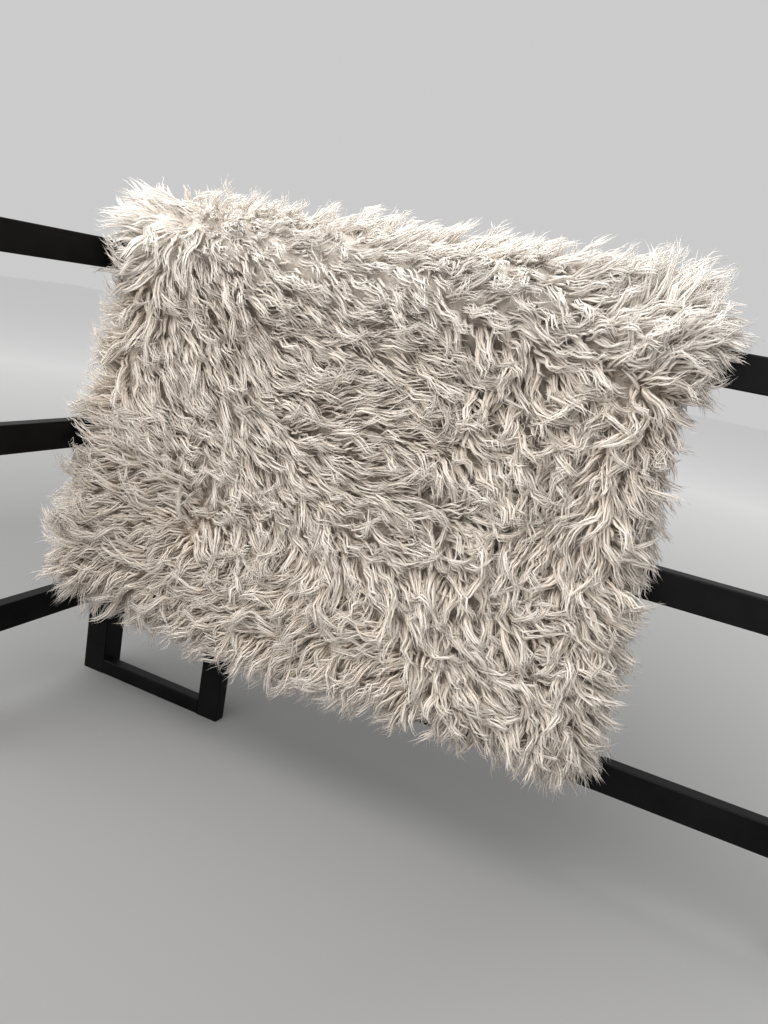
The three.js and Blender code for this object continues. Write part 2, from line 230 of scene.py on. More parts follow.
# %% Coat the bars
WOOL_NODES = [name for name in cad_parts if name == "rug" or name.startswith("rim_")]
STEEL_NODES = [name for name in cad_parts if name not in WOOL_NODES]
COAT_COLOURS = [(0.35, (0.0018, 0.0018, 0.0020)), (0.75, (0.006, 0.006, 0.0064))]
COAT_GLOSS = [(0.3, 0.34), (0.8, 0.52)]


def powder_coat():
    material, tree, shader = new_material("black powder coat")
    place = add_node(tree, "ShaderNodeTexCoord")
    peel = add_node(tree, "ShaderNodeTexNoise", Scale=420.0, Detail=2.0, Roughness=0.5)
    dust = add_node(tree, "ShaderNodeTexNoise", Scale=9.0, Detail=6.0, Roughness=0.65)
    for noise in (peel, dust):
        tree.links.new(place.outputs["Object"], noise.inputs["Vector"])
    colour = ramp(tree, dust.outputs["Fac"], COAT_COLOURS)
    tree.links.new(colour, shader.inputs["Base Color"])
    gloss = ramp(tree, dust.outputs["Fac"], COAT_GLOSS)
    tree.links.new(gloss, shader.inputs["Roughness"])
    raise_bumps(tree, shader, peel.outputs["Fac"], 0.12, 0.0004)
    fill_in(shader, Specular_IOR_Level=0.10)
    return material


STEEL = powder_coat()
for name in STEEL_NODES:
    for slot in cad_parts[name].material_slots:
        slot.material = STEEL
print("coated:", len(STEEL_NODES), "bars and posts")

# %% [markdown]
# ## The drape
# Everything on the rug is placed by two numbers. `across` runs from 0 at the left edge of the woven
# backing to 1 at the right one. `fall` is the way along the drape, in metres over the pile's outer
# side: 0 on the crest above the rail, positive down the front and negative down the back. Past the
# edges both go on, and there the pile fans round the rim. `drape` turns the two numbers into a
# point on the backing and three directions: across, down the front, and out into the pile.

# %% Sizes of the drape
RAIL_LOW, RAIL_HIGH = (np.array(corner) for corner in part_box("top_rail"))
RAIL_TOP = RAIL_HIGH[2]
RAIL_Y = (RAIL_LOW[1] + RAIL_HIGH[1]) / 2
# Over the rail the cloth passes these (roll in degrees, distance forward, height over the rail).
HALF_ARCH = np.array([
    (7, 0.0050, 0.0003), (20, 0.0090, 0.0024), (40, 0.0140, 0.0024), (64, 0.0174, -0.001),
    (90, 0.0176, -0.016),
])
ARCH_ROLL = np.radians(np.concatenate([-HALF_ARCH[::-1, 0], HALF_ARCH[:, 0]]))
ARCH_FORWARD = np.concatenate([-HALF_ARCH[::-1, 1], HALF_ARCH[:, 1]])
ARCH_ABOVE = np.concatenate([HALF_ARCH[::-1, 2], HALF_ARCH[:, 2]])
CREST_RUN = 0.157
LEFT_TOP, RIGHT_FRONT, RIGHT_BACK = 0.112, 1.104, 1.110
LEFT_EDGE = dict(drop=[0, 0.14, 0.42, 0.9], x=[0.112, 0.076, 0.060, 0.050])
HEM_FRONT = dict(
    across=[0, 0.12, 0.35, 0.6, 0.85, 1], drop=[0.650, 0.690, 0.722, 0.708, 0.690, 0.676],
)
HEM_BACK = dict(across=[0, 0.3, 0.7, 1], drop=[0.622, 0.648, 0.634, 0.646])
BEND = dict(start_x=0.290, depth=0.108, start=0.120, span=0.560, power=1.7)
FLARE = dict(front=0.016, back=0.012)
RIPPLE = dict(height=0.004, run=0.095)
RIM_RUN = 0.150
RIM_TURN = math.radians(100)
SMALL_STEP = 0.01
WIDTH = RIGHT_FRONT - LEFT_TOP


def smooth(v):
    """3 v squared minus 2 v cubed, between 0 and 1."""
    v = np.clip(v, 0, 1)
    return v * v * (3 - 2 * v)


def unit(v):
    return v / np.maximum(np.linalg.norm(v, axis=-1, keepdims=True), 1e-9)


def hem_drop(across, front):
    near = np.interp(across, HEM_FRONT["across"], HEM_FRONT["drop"])
    far = np.interp(across, HEM_BACK["across"], HEM_BACK["drop"])
    return np.where(front, near, far)


def backing(across, fall):
    """A point of the backing. Over the rail it follows the arch's places. Below that it hangs
    straight and flares a little towards the hem, and the left part of the front swings out."""
    front = fall > 0
    side = np.where(front, 1.0, -1.0)
    roll = np.clip(fall / CREST_RUN, -1, 1) * math.pi / 2
    drop = np.minimum(np.maximum(np.abs(fall) - CREST_RUN, 0), hem_drop(across, front))
    share = drop / hem_drop(across, front)
    swing = np.where(front, smooth((drop - BEND["start"]) / BEND["span"]), 0)
    left = np.where(front, np.interp(drop, LEFT_EDGE["drop"], LEFT_EDGE["x"]), LEFT_TOP)
    right = RIGHT_BACK + (RIGHT_FRONT - RIGHT_BACK) * (1 + np.sin(roll)) / 2
    x = left + (right - left) * across
    flare = np.where(front, FLARE["front"], FLARE["back"]) * share**2
    wave = RIPPLE["height"] * share * (1 + np.sin(x / RIPPLE["run"] + side))
    bend = BEND["depth"] * swing * np.maximum(0, 1 - x / BEND["start_x"]) ** BEND["power"]
    y = RAIL_Y - np.interp(roll, ARCH_ROLL, ARCH_FORWARD) - side * (flare + wave) - bend
    z = RAIL_TOP + np.interp(roll, ARCH_ROLL, ARCH_ABOVE) - drop
    return np.stack([x, y, z], -1)


def drape(across, fall):
    """The backing's point there, and unit directions right, down to the front hem, and out."""
    across, fall = np.broadcast_arrays(np.asarray(across, float), np.asarray(fall, float))
    held = np.clip(across, 0, 1)
    point = backing(held, fall)
    ahead = backing(np.minimum(held + SMALL_STEP, 1), fall)
    right = ahead - backing(np.maximum(held - SMALL_STEP, 0), fall)
    right[..., 2] = 0
    right = unit(right)
    roll = np.clip(fall / CREST_RUN, -1, 1) * math.pi / 2
    down = np.stack([np.zeros_like(roll), -np.cos(roll), -np.sin(roll)], -1)
    return point, right, down, unit(np.cross(down, right))


def rim_turns(across, fall):
    """How far the pile has turned from square to the cloth: towards the side edge, and the hem."""
    held = np.clip(across, 0, 1)
    aside = (across - held) * WIDTH / RIM_RUN * RIM_TURN
    end = hem_drop(held, fall > 0) + CREST_RUN
    hemward = np.maximum(np.abs(fall) - end, 0) * np.sign(fall) / RIM_RUN * RIM_TURN
    return aside, hemward


def pile_frame(across, fall):
    """The drape's frame with `up`, the way the pile stands: out of the cloth, fanned at the rim."""
    point, right, down, out = drape(across, fall)
    aside, hemward = rim_turns(np.asarray(across, float), np.asarray(fall, float))
    aside, hemward = aside[..., None], hemward[..., None]
    up = out * np.cos(aside) * np.cos(hemward) + right * np.sin(aside) + down * np.sin(hemward)
    up = unit(up)
    right = unit(right - up * np.sum(right * up, -1, keepdims=True) + 1e-6)
    down = unit(np.cross(right, up))
    return point, right, down, up


END_FRONT = CREST_RUN + max(HEM_FRONT["drop"])
END_BACK = -(CREST_RUN + max(HEM_BACK["drop"]))
print("drape from", round(END_BACK, 3), "to", round(END_FRONT, 3), "m")

# %% [markdown]
# ## The combing
# Nobody combs such a rug evenly. Its locks lie the way that hands, washing and hanging left them:
# away from a parting that runs from the upper left to the middle, down the right side, in a fan at
# the upper right corner, and outwards all round the rim. So the headings are listed here, one
# stroke of the comb at a time, and each lock follows the strokes nearest to it. A stroke has a
# place (x, z in millimetres) and a heading in degrees, where 0 is right and 90 is up. Ridges,
# partings and hollows are lines with a rise or a fall to each side.

# %% Strokes of the comb
STROKE_REACH = 0.066
FAR_WEIGHT = 1e-3
UNEVEN = 0.6
STROKES_MM = {
    "crest": [
        (115, 1067, 165), (180, 1070, -60), (240, 1062, -45), (325, 1075, -32), (425, 1088, -30),
        (517, 1100, -25),
    ],
    "crest, right": [
        (600, 1033, -15), (688, 1046, -25), (770, 1058, -30), (850, 1070, -35), (925, 1081, -28),
        (1000, 1095, -20),
    ],
    "left edge": [
        (50, 970, 170), (30, 865, 160), (0, 770, 165), (-20, 670, 170), (-30, 570, 175),
        (-60, 460, 175),
    ],
    "lower left edge": [
        (-60, 350, -170), (-30, 240, -150), (95, 200, -120), (120, 281, -140), (60, 400, 180),
    ],
    "upper left": [
        (150, 1010, -60), (211, 975, -40), (199, 885, -35), (187, 793, -30), (125, 900, -50),
        (120, 760, -30),
    ],
    "left": [
        (174, 697, -25), (162, 598, 165), (135, 493, 165), (252, 523, 155), (286, 721, -30),
        (275, 625, -10),
    ],
    "left, outwards": [
        (70, 560, 168), (60, 480, 168), (215, 590, 160), (190, 410, -165),
    ],
    "parting": [
        (306, 904, -30), (296, 814, -45), (383, 651, -35), (434, 610, -45), (484, 560, -50),
    ],
    "upper middle": [
        (316, 991, -20), (416, 1005, -10), (408, 921, -15), (505, 937, -10), (597, 953, 0),
        (684, 968, -20),
    ],
    "middle": [
        (400, 834, -5), (498, 853, -5), (592, 870, 5), (680, 888, -10), (391, 744, -10),
        (491, 765, 15),
    ],
    "middle, lower": [
        (586, 786, 20), (677, 805, 10), (581, 698, 15), (673, 720, 5), (565, 605, 5),
        (658, 630, -5),
    ],
    "right of middle": [
        (765, 904, -25), (763, 824, 0), (760, 741, 5), (844, 841, -30), (843, 761, -5),
        (747, 654, 0),
    ],
    "upper right": [
        (768, 982, -20), (847, 996, -10), (846, 919, -75), (923, 1008, -25), (923, 934, -30),
        (996, 1021, -10),
    ],
    "crease": [
        (997, 948, -40), (923, 858, -60), (997, 874, -65), (922, 780, -20), (998, 798, -35),
        (832, 676, 0),
    ],
    "corner fan": [
        (1147, 1107, 52), (1066, 1033, 62), (1132, 1044, 60), (1067, 962, 60), (1135, 975, 50),
        (1195, 979, 10),
    ],
    "corner end": [
        (1080, 1105, 80), (1200, 1080, 35), (1220, 1010, 15),
    ],
    "swirl": [
        (1122, 925, 130), (1069, 889, -150), (1170, 870, -60), (1137, 890, -80),
    ],
    "ridge, left side": [
        (1070, 815, -125), (990, 717, -130), (1064, 737, -112), (982, 634, -120),
        (1057, 656, -115),
    ],
    "ridge, right side": [
        (1139, 832, -95), (1134, 755, -80), (1160, 755, -42), (1129, 676, -45), (1199, 664, -45),
    ],
    "right edge": [
        (1208, 561, -40), (1147, 602, -45), (1200, 800, -30), (1210, 450, -30), (1207, 291, -35),
    ],
    "right lower": [
        (921, 532, -35), (1000, 556, -45), (1075, 580, -55), (965, 460, -30), (1043, 486, -30),
        (1117, 511, -30),
    ],
    "curls": [
        (735, 563, 10), (821, 588, 0), (751, 479, -30), (829, 514, -135), (873, 450, -46),
        (644, 537, -25),
    ],
    "lower left middle": [
        (362, 552, -15), (447, 480, -60), (340, 450, 5), (548, 500, -70), (235, 400, -155),
    ],
    "lower middle": [
        (354, 354, -170), (462, 388, -165), (564, 410, -150), (613, 340, -150), (708, 372, -155),
    ],
    "lower right": [
        (902, 348, -15), (984, 378, -25), (1062, 406, -35), (1136, 433, -30), (957, 276, -20),
        (1037, 308, -30),
    ],
    "hem": [
        (241, 319, -130), (294, 232, -130), (175, 191, -100), (406, 270, -145), (512, 306, -140),
        (528, 211, -125),
    ],
    "hem, right": [
        (629, 248, -130), (725, 283, -140), (815, 316, -150), (689, 171, -125), (783, 208, -135),
        (872, 243, -130),
    ],
    "hem corner": [
        (1036, 226, -110), (1114, 259, -88), (1144, 254, -75), (1187, 340, -30), (1180, 220, -60),
    ],
}
STROKES = np.array([stroke for strokes in STROKES_MM.values() for stroke in strokes], float)

# Each line runs from (x, z) to (x, z), with the width and the rise of its bell, in millimetres.
COMBED_MM = {
    "parting, upper": (150, 1090, 300, 870, 42, -26),
    "parting, lower": (300, 870, 440, 640, 42, -28),
    "parting, end": (440, 640, 560, 480, 40, -20),
    "tuft beside the post": (60, 1080, 130, 960, 60, 14),
    "left shoulder": (90, 820, 250, 560, 60, 16),
    "pocket": (310, 740, 370, 690, 48, -15),
    "upper swell": (420, 980, 760, 900, 80, 14),
    "middle swell": (560, 760, 900, 700, 90, 10),
    "middle trough": (560, 545, 660, 505, 40, -16),
    "curled lock": (790, 500, 870, 470, 44, 16),
    "lower swell": (300, 360, 900, 330, 80, 10),
    "arc under the corner": (990, 1030, 1150, 1082, 34, -26),
    "corner fan": (1040, 985, 1140, 1030, 46, 16),
    "swirl": (1100, 930, 1140, 900, 48, 12),
    "right ridge": (1120, 860, 1115, 480, 46, 14),
    "crease beside the ridge": (985, 790, 1060, 640, 40, -24),
}


def heading_at(x, z, dice):
    """The direction of the strokes around a place. Each weighs exp(-(distance / reach) squared),
    times a random share, so that along a parting some locks fall one way and some the other. Also
    how well the strokes agree: 1 where they all point one way, 0 where they cancel out."""
    away = (x[:, None] - STROKES[:, 0] / 1000) ** 2 + (z[:, None] - STROKES[:, 1] / 1000) ** 2
    weight = np.exp(-away / STROKE_REACH**2)
    weight = weight + FAR_WEIGHT * np.exp(-away / (3 * STROKE_REACH) ** 2)
    angle = np.radians(STROKES[:, 2])
    agreed = weight @ np.exp(1j * angle) / weight.sum(1)
    weight = weight * dice.exponential(1, weight.shape) ** UNEVEN
    return np.arctan2(weight @ np.sin(angle), weight @ np.cos(angle)), np.abs(agreed)


def combed_rise(x, z):
    """The sum of the lines' bells, rise times exp(-(distance to the line / width) squared)."""
    total = np.zeros_like(x)
    for x0, z0, x1, z1, width, rise in np.array(list(COMBED_MM.values())) / 1000:
        along = ((x - x0) * (x1 - x0) + (z - z0) * (z1 - z0)) / ((x1 - x0) ** 2 + (z1 - z0) ** 2)
        along = np.clip(along, 0, 1)
        away = (x - x0 - along * (x1 - x0)) ** 2 + (z - z0 - along * (z1 - z0)) ** 2
        total += rise * np.exp(-away / width**2)
    return total


def drift(u, v, size, seed, waves=9):
    """A smooth random field between about -1 and 1: a few plane waves of lengths near `size`."""
    dice = np.random.default_rng(seed)
    turns = dice.uniform(0, np.pi, waves)
    lengths = size * dice.uniform(0.7, 1.5, waves)
    total = 0
    for turn, length, phase in zip(turns, lengths, dice.uniform(0, 6.28, waves)):
        step = (u * math.cos(turn) + v * math.sin(turn)) * 2 * math.pi / length
        total = total + np.sin(step + phase)
    return total / math.sqrt(waves)


PILE = dict(front=0.090, crest=0.123, back=0.070)
CREST_FADE = dict(front=0.235, back=0.150)
# The pile's lumps: how high they are, how far apart, and the seed of each random field.
LUMPS = [(0.008, 0.075, 11), (0.005, 0.19, 12)]


def crest_share(fall):
    """1 on the crest, and 0 once the drape has gone the fade's way down that side: a cosine."""
    fade = np.where(np.asarray(fall) > 0, CREST_FADE["front"], CREST_FADE["back"])
    return np.cos(np.clip(fall / fade, -1, 1) * math.pi / 2)


def pile_height(across, fall):
    """The pile's full height above the backing, as the solid has it: tallest over the rail, lumpy
    everywhere, and raised or parted along the combed lines on the front."""
    point, _, _, up = pile_frame(across, fall)
    crest = crest_share(fall)
    hanging = np.where(np.asarray(fall) > 0, PILE["front"], PILE["back"])
    height = hanging + (PILE["crest"] - hanging) * crest
    shown = point + up * height[..., None]
    x, z = shown[..., 0], shown[..., 2]
    for rise, size, seed in LUMPS:
        height = height + rise * drift(across * WIDTH, fall, size, seed)
    return np.where(np.asarray(fall) > 0, height + combed_rise(x, z), height)


print("strokes:", len(STROKES), "combed lines:", len(COMBED_MM))

# %% [markdown]
# ## The woven backing
# Under the pile is a plain woven cloth, a rectangle that hangs over the rail. Little of it shows,
# at the rim between the locks and from underneath. It is one closed sheet: the drape's points on a
# grid, once for the side towards the rail and once a cloth's thickness further out.

# %% Weave the backing
CLOTH_NEAR = 0.0004
CLOTH_FAR = 0.0030
BACKING_COLUMNS = 34
ARCH_ROWS = 33
WALL_ROWS = 32


def put_mesh(name, points, quads, triangles=None, uv=None, tags=None):
    """Makes an object from whole arrays: points (n, 3), quads (m, 4), triangles (k, 3), the UV of
    every face corner in the same order, and named numbers for every point."""
    triangles = np.zeros((0, 3), int) if triangles is None else triangles
    corners = np.concatenate([quads.ravel(), triangles.ravel()])
    starts = np.arange(len(quads)) * 4
    starts = np.concatenate([starts, quads.size + np.arange(len(triangles)) * 3])
    mesh = bpy.data.meshes.new(name)
    mesh.vertices.add(len(points))
    mesh.vertices.foreach_set("co", np.asarray(points, np.float32).ravel())
    mesh.loops.add(len(corners))
    mesh.loops.foreach_set("vertex_index", corners.astype(np.int32))
    mesh.polygons.add(len(starts))
    mesh.polygons.foreach_set("loop_start", starts.astype(np.int32))
    mesh.polygons.foreach_set("use_smooth", np.ones(len(starts), bool))
    if uv is not None:
        layer = mesh.uv_layers.new(name="UVMap")
        layer.data.foreach_set("uv", np.asarray(uv, np.float32).ravel())
    for tag, values in (tags or {}).items():
        attribute = mesh.attributes.new(tag, "FLOAT", "POINT")
        attribute.data.foreach_set("value", np.asarray(values, np.float32).ravel())
    mesh.update(calc_edges=True)
    piece = bpy.data.objects.new(name, mesh)
    bpy.context.scene.collection.objects.link(piece)
    print(name, "triangles:", 2 * len(quads) + len(triangles))
    return piece


def slab_faces(rows, columns):
    """Faces of a closed slab whose outer grid is followed by its inner one: two grids of quads, the
    second one turned over, and a band of quads round the rim."""
    index = np.arange(rows * columns).reshape(rows, columns)
    outer = np.stack([index[:-1, :-1], index[1:, :-1], index[1:, 1:], index[:-1, 1:]], -1)
    outer = outer.reshape(-1, 4)
    inner = outer[:, ::-1] + rows * columns
    loop = np.concatenate([index[0, :-1], index[:-1, -1], index[-1, :0:-1], index[:0:-1, 0]])
    following = np.roll(loop, -1)
    band = np.stack([loop, following, following + rows * columns, loop + rows * columns], -1)
    return np.concatenate([outer, inner, band])


def put_slab(name, outer, inner, uv=None):
    """A closed slab from its two grids of points, with the UV of every grid point if it has one."""
    quads = slab_faces(*outer.shape[:2])
    points = np.concatenate([outer.reshape(-1, 3), inner.reshape(-1, 3)])
    if uv is not None:
        uv = np.concatenate([uv.reshape(-1, 2)] * 2)[quads]
    return put_mesh(name, points, quads, uv=uv)


def make_backing():
    """The sheet, and its width and length measured along the drape."""
    across = np.linspace(0, 1, BACKING_COLUMNS)
    over_rail = np.linspace(-1, 1, ARCH_ROWS)[:, None] * CREST_RUN * np.ones_like(across)
    share = np.linspace(0, 1, WALL_ROWS)[1:, None]
    front = CREST_RUN + share * hem_drop(across, True)
    back = -CREST_RUN - share[::-1] * hem_drop(across, False)
    fall = np.concatenate([back, over_rail, front])
    across = across * np.ones_like(fall)
    point, _, _, out = drape(across, fall)
    steps = np.linalg.norm(np.diff(point, axis=0), axis=-1)
    down = np.concatenate([np.zeros_like(across[:1]), np.cumsum(steps, 0)])
    width = np.linalg.norm(np.diff(point, axis=1), axis=-1).sum(1).mean()
    flat = np.stack([across * WIDTH, down], -1)
    piece = put_slab("woven_backing", point + out * CLOTH_FAR, point + out * CLOTH_NEAR, flat)
    return piece, float(width), float(down[-1].mean())


woven_backing, FLAT_WIDTH, FLAT_LENGTH = make_backing()
print("cut", round(FLAT_WIDTH, 3), "by", round(FLAT_LENGTH, 3), "m")

# %% [markdown]
# ## The undercoat
# Close to the backing the wool is matted and dense, and dark because little light gets there. It is
# a closed slab over the backing that follows the pile at about half its height, higher over the
# rail, and fans round the rim as the pile does. The locks stand in it, so no gap between them shows
# bare cloth.

# %% Felt the undercoat
UNDER_STEP = 0.018
UNDER_SHARE = dict(usual=0.50, right=-0.07, crest=0.27)
UNDER_START = 0.0038
UNDER_EDGE = dict(across=0.002, fall=0.005)


def spread(across, share):
    """Turns a share of the drape (-1 to 1 from hem to hem) into the fall in that column."""
    return share * (CREST_RUN + hem_drop(np.clip(across, 0, 1), share > 0))


def make_undercoat():
    columns = int((WIDTH + 2 * RIM_RUN) / UNDER_STEP)
    rows = int((END_FRONT - END_BACK + 2 * RIM_RUN) / UNDER_STEP)
    past = 1 + RIM_RUN / END_FRONT
    share, across = np.meshgrid(
        np.linspace(-past, past, rows), np.linspace(-RIM_RUN, WIDTH + RIM_RUN, columns) / WIDTH,
        indexing="ij",
    )
    fall = spread(across, share)
    point, _, _, up = pile_frame(across, fall)
    height = UNDER_SHARE["usual"] + UNDER_SHARE["right"] * smooth((across - 0.55) / 0.2)
    height = (height + UNDER_SHARE["crest"] * crest_share(fall)) * pile_height(across, fall)
    edge = 1 - UNDER_EDGE["fall"]
    share, across = np.meshgrid(
        np.linspace(-edge, edge, rows),
        np.linspace(UNDER_EDGE["across"], 1 - UNDER_EDGE["across"], columns), indexing="ij",
    )
    root, _, _, out = drape(across, spread(across, share))
    return put_slab("undercoat", point + up * height[..., None], root + out * UNDER_START)


undercoat = make_undercoat()

# %% [markdown]
# ## The locks
# The pile's yarn is thick, softly spun and never cut level, and it has opened into locks: bundles
# of wavy strands that part at the tip. Each lock stands up from its root, leans over the way it is
# combed, and lies on its neighbours. Its line comes from adding up small steps whose direction
# turns from `up` to the combed heading. Round that line go three thick wisps and five finer yarns,
# each a thin closed tube that draws in towards the others, twists, and frays off at the end.

# %% Plant the locks
FRONT_SPACING = 0.0224
BACK_SPACING = 0.031
FRONT_FROM = -0.75 * CREST_RUN


def plant(spacing, seed, keep_front):
    """Roots on a grid of the drape, each moved by up to half a step in both directions."""
    dice = np.random.default_rng(seed)
    columns = int((WIDTH + 2 * RIM_RUN) / spacing)
    rows = int((END_FRONT - END_BACK + 2 * RIM_RUN) / spacing)
    aside = np.linspace(-RIM_RUN, WIDTH + RIM_RUN, columns)
    along = np.linspace(END_BACK - RIM_RUN, END_FRONT + RIM_RUN, rows)
    aside, along = np.meshgrid(aside, along)
    aside = (aside + spacing * 0.5 * (np.arange(rows) % 2)[:, None]).ravel()
    along = along.ravel()
    aside = aside + dice.uniform(-0.5, 0.5, aside.size) * spacing
    along = along + dice.uniform(-0.5, 0.5, along.size) * spacing
    across = aside / WIDTH
    end = CREST_RUN + hem_drop(np.clip(across, 0, 1), along > 0)
    inside = np.abs(along) < end + RIM_RUN
    shown = along > FRONT_FROM
    inside &= shown if keep_front else ~shown
    return across[inside], along[inside]


print("front locks start at", round(FRONT_FROM, 3), "m")

# %% Lay the locks
ROOT_SHARE = dict(usual=0.50, crest=0.17)
LENGTH = dict(usual=0.102, calm=0.010, hem=-0.012, crest=-0.004, back=-0.28)
LEFT_HOLD = dict(fall=[0, 0.15, 0.5, 0.75], less=[0.022, 0.034, 0.034, 0.048])
RIGHT_HOLD = dict(fall=[-0.1, 0.05, 0.25, 0.4], less=[0.036, 0.040, 0.036, 0.026])
# How far a lock leans over at its tip, in degrees from `up`, and what each place adds to that.
LEAN = dict(tip=100, crest=-26, side=-32, hem=-26, parted=-16)
PROUD_SHARE = 0.16
STROKED_FROM = -0.07
PARTED_BELOW = 0.7
RIM_FULL = math.radians(70)


def parts_of(across, fall):
    """Shares from 0 to 1 of each place: on the crest, at a side, at a hem, at the rim anyhow, and
    in the wild parts, which are the right third, the bottom and the left edge."""
    aside, hemward = (np.abs(turn) / RIM_FULL for turn in rim_turns(across, fall))
    wild = np.maximum(smooth((across - 0.55) / 0.2), smooth((fall - 0.48) / 0.15))
    wild = np.maximum(wild, smooth((0.04 - across) / 0.08))
    rim = smooth(np.maximum(aside, hemward))
    return crest_share(fall), smooth(aside), smooth(hemward), rim, wild


def comb_locks(across, fall, crown, wild, dice):
    """Each lock's heading, and the share that it stands in a parting. In front the strokes give the
    heading, and behind it is down and away from the middle. Both wander a little."""
    heading, agreed = heading_at(crown[:, 0], crown[:, 2], dice)
    parted = 1 - smooth(agreed / PARTED_BELOW)
    away = np.radians(-90) + (across - 0.5) * 1.3 + 0.5 * drift(across, fall, 0.5, 31)
    heading = np.where(fall > STROKED_FROM, heading, -away)
    heading = heading + (0.16 + 0.18 * wild) * drift(across * WIDTH, fall, 0.13, 21)
    heading = heading + (0.07 + 0.13 * wild + 0.2 * parted) * dice.normal(0, 1, len(across))
    return heading, parted


def lock_length(across, fall, dice):
    """Shorter at the rim and behind, a little longer in the calm middle, and uneven everywhere."""
    crest, side, hem, rim, wild = parts_of(across, fall)
    hold = [np.interp(fall, hold["fall"], hold["less"]) for hold in (LEFT_HOLD, RIGHT_HOLD)]
    calm = (1 - wild) * (1 - rim) * (1 - crest)
    length = LENGTH["usual"] + LENGTH["calm"] * calm
    length = length - np.where(across < 0.5, *hold) * side
    length = length + LENGTH["hem"] * hem + LENGTH["crest"] * crest
    uneven = dice.uniform(0.74, 1.12, len(across))
    return length * uneven * (1 + LENGTH["back"] * smooth(-fall / 0.06))


def lay_locks(across, fall, seed):
    """Everything that each lock needs: where it stands, the way it is combed, and its size."""
    dice = np.random.default_rng(seed)
    count = len(across)
    point, _, _, up = pile_frame(across, fall)
    _, flat_right, flat_down, _ = drape(across, fall)
    crest, side, hem, rim, wild = parts_of(across, fall)
    height = pile_height(across, fall)
    share = ROOT_SHARE["usual"] + ROOT_SHARE["crest"] * crest
    locks = dict(up=up, root=point + up * (height * share)[:, None], across=across, fall=fall)
    heading, parted = comb_locks(across, fall, point + up * height[:, None], wild, dice)
    combed = np.cos(heading)[:, None] * flat_right - np.sin(heading)[:, None] * flat_down
    along_coat = combed - up * np.sum(combed * up, -1, keepdims=True)
    along_coat = along_coat + (0.5 * side)[:, None] * flat_down
    combed = unit(combed + (along_coat - combed) * (0.8 * rim)[:, None])
    locks["combed"] = unit(combed)
    locks["binormal"] = unit(np.cross(up, combed) + 0.04 * flat_right)
    locks["length"] = lock_length(across, fall, dice)
    locks["start"] = np.radians(dice.uniform(14, 44, count) + 16 * crest)
    stop = LEAN["tip"] + LEAN["crest"] * crest + LEAN["side"] * side + LEAN["hem"] * hem
    stop = stop + dice.normal(0, 10, count) + LEAN["parted"] * parted * (1 - rim) * (1 - crest)
    proud = dice.random(count) < PROUD_SHARE
    upright = dice.uniform(14, 40, count) * (1 - 0.5 * crest)
    locks["stop"] = np.radians(np.where(proud, stop - upright, stop))
    curly = wild * (1 - 0.7 * crest) * (1 - 0.5 * rim)
    locks["radius"] = dice.uniform(0.0065, 0.0105, count)
    bend = drift(across * WIDTH, fall, 0.085, 24)
    locks["curl"] = (0.50 + 0.80 * curly) * bend + dice.normal(0, 0.2, count)
    locks["wave"] = dice.uniform(0.0030, 0.0080, count) * (1 + 0.8 * curly)
    locks["turns"] = dice.uniform(0.9, 1.9, count)
    locks["phase"] = 4 * drift(across * WIDTH, fall, 0.16, 23) + dice.uniform(0, 1.6, count)
    locks["tone"] = dice.uniform(0, 1, count)
    locks["twist"] = dice.uniform(-2.4, 2.4, count) * (1 + 0.9 * curly)
    return locks


def lock_lines(locks, rings):
    """The middle line of each lock: steps along cos(lean) up + sin(lean) combed, where the lean
    goes from its start to its stop and the heading turns by the lock's curl, added up, with a wave
    that grows towards the tip."""
    t = np.linspace(0, 1, rings)
    own = {key: locks[key][:, None] for key in locks}
    lean = own["start"] + (own["stop"] - own["start"]) * t**0.8
    curl = (own["curl"] * t)[..., None]
    combed = own["combed"] * np.cos(curl) + own["binormal"] * np.sin(curl)
    ahead = np.cos(lean)[..., None] * own["up"] + np.sin(lean)[..., None] * combed
    step = (ahead[:, 1:] + ahead[:, :-1]) / 2 * (own["length"] / (rings - 1))[..., None]
    line = np.concatenate([np.zeros_like(step[:, :1]), np.cumsum(step, 1)], 1) + own["root"]
    turn = 2 * np.pi * own["turns"] * t
    swing = own["wave"] * t * np.sin(turn + own["phase"])
    bob = 0.5 * own["wave"] * t * np.cos(turn + 2 * own["phase"])
    above = np.cross(own["binormal"], ahead)
    line = line + swing[..., None] * own["binormal"] + bob[..., None] * above
    return line, ahead, above


front_locks = lay_locks(*plant(FRONT_SPACING, 41, True), seed=42)
back_locks = lay_locks(*plant(BACK_SPACING, 43, False), seed=44)
print("locks in front:", len(front_locks["fall"]), "behind:", len(back_locks["fall"]))

# %% Spin the yarns
STEEL_CLEARANCE = 0.003
BEND_BEFORE = 0.4
PILE_REACH = np.array([0.055, 0.024, 0.040])
SIDES = 3
STRAY = dict(fray=0.012, kink=1.6)


